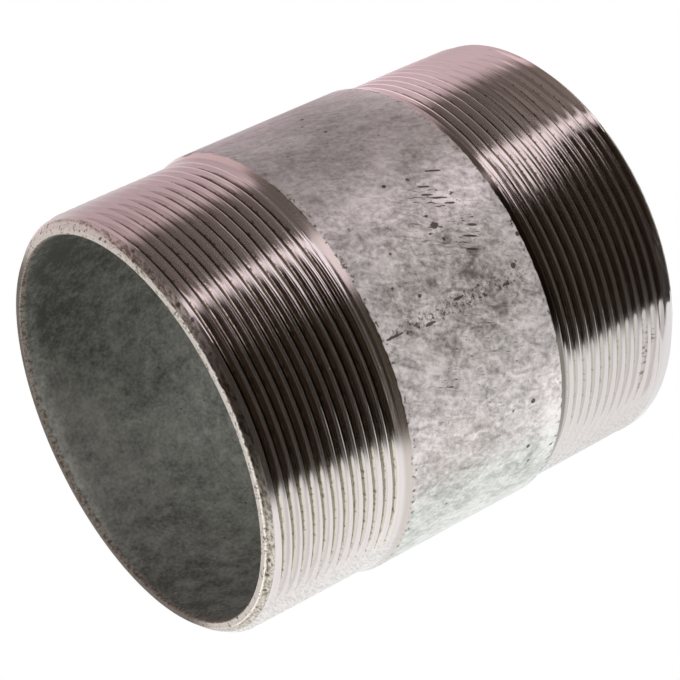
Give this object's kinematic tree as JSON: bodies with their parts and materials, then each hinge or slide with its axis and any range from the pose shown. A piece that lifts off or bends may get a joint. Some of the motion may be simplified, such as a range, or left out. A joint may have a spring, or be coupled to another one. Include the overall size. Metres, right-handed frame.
{
  "type": "pipe nipple",
  "caption": "Straight galvanised steel barrel nipple: a short tube with an outside taper thread at each end, bevelled ends and a plain barrel between them.",
  "frame": {"origin": "centre of the lower end face's plane, on the tube's axis, where the nipple stands", "axes": "+Z along the tube's axis, from the lower end to the upper end; the end that the picture shows open is the upper one; +X and +Y are any two square directions round the axis"},
  "size_m": [0.0894, 0.0894, 0.1016],
  "materials": {
    "galvanised_steel": "dull mottled zinc on the barrel and in the bore, bright machined steel on the threads"
  },
  "bodies": {
    "root": {"nipple": "galvanised_steel"}
  },
  "joints": []
}
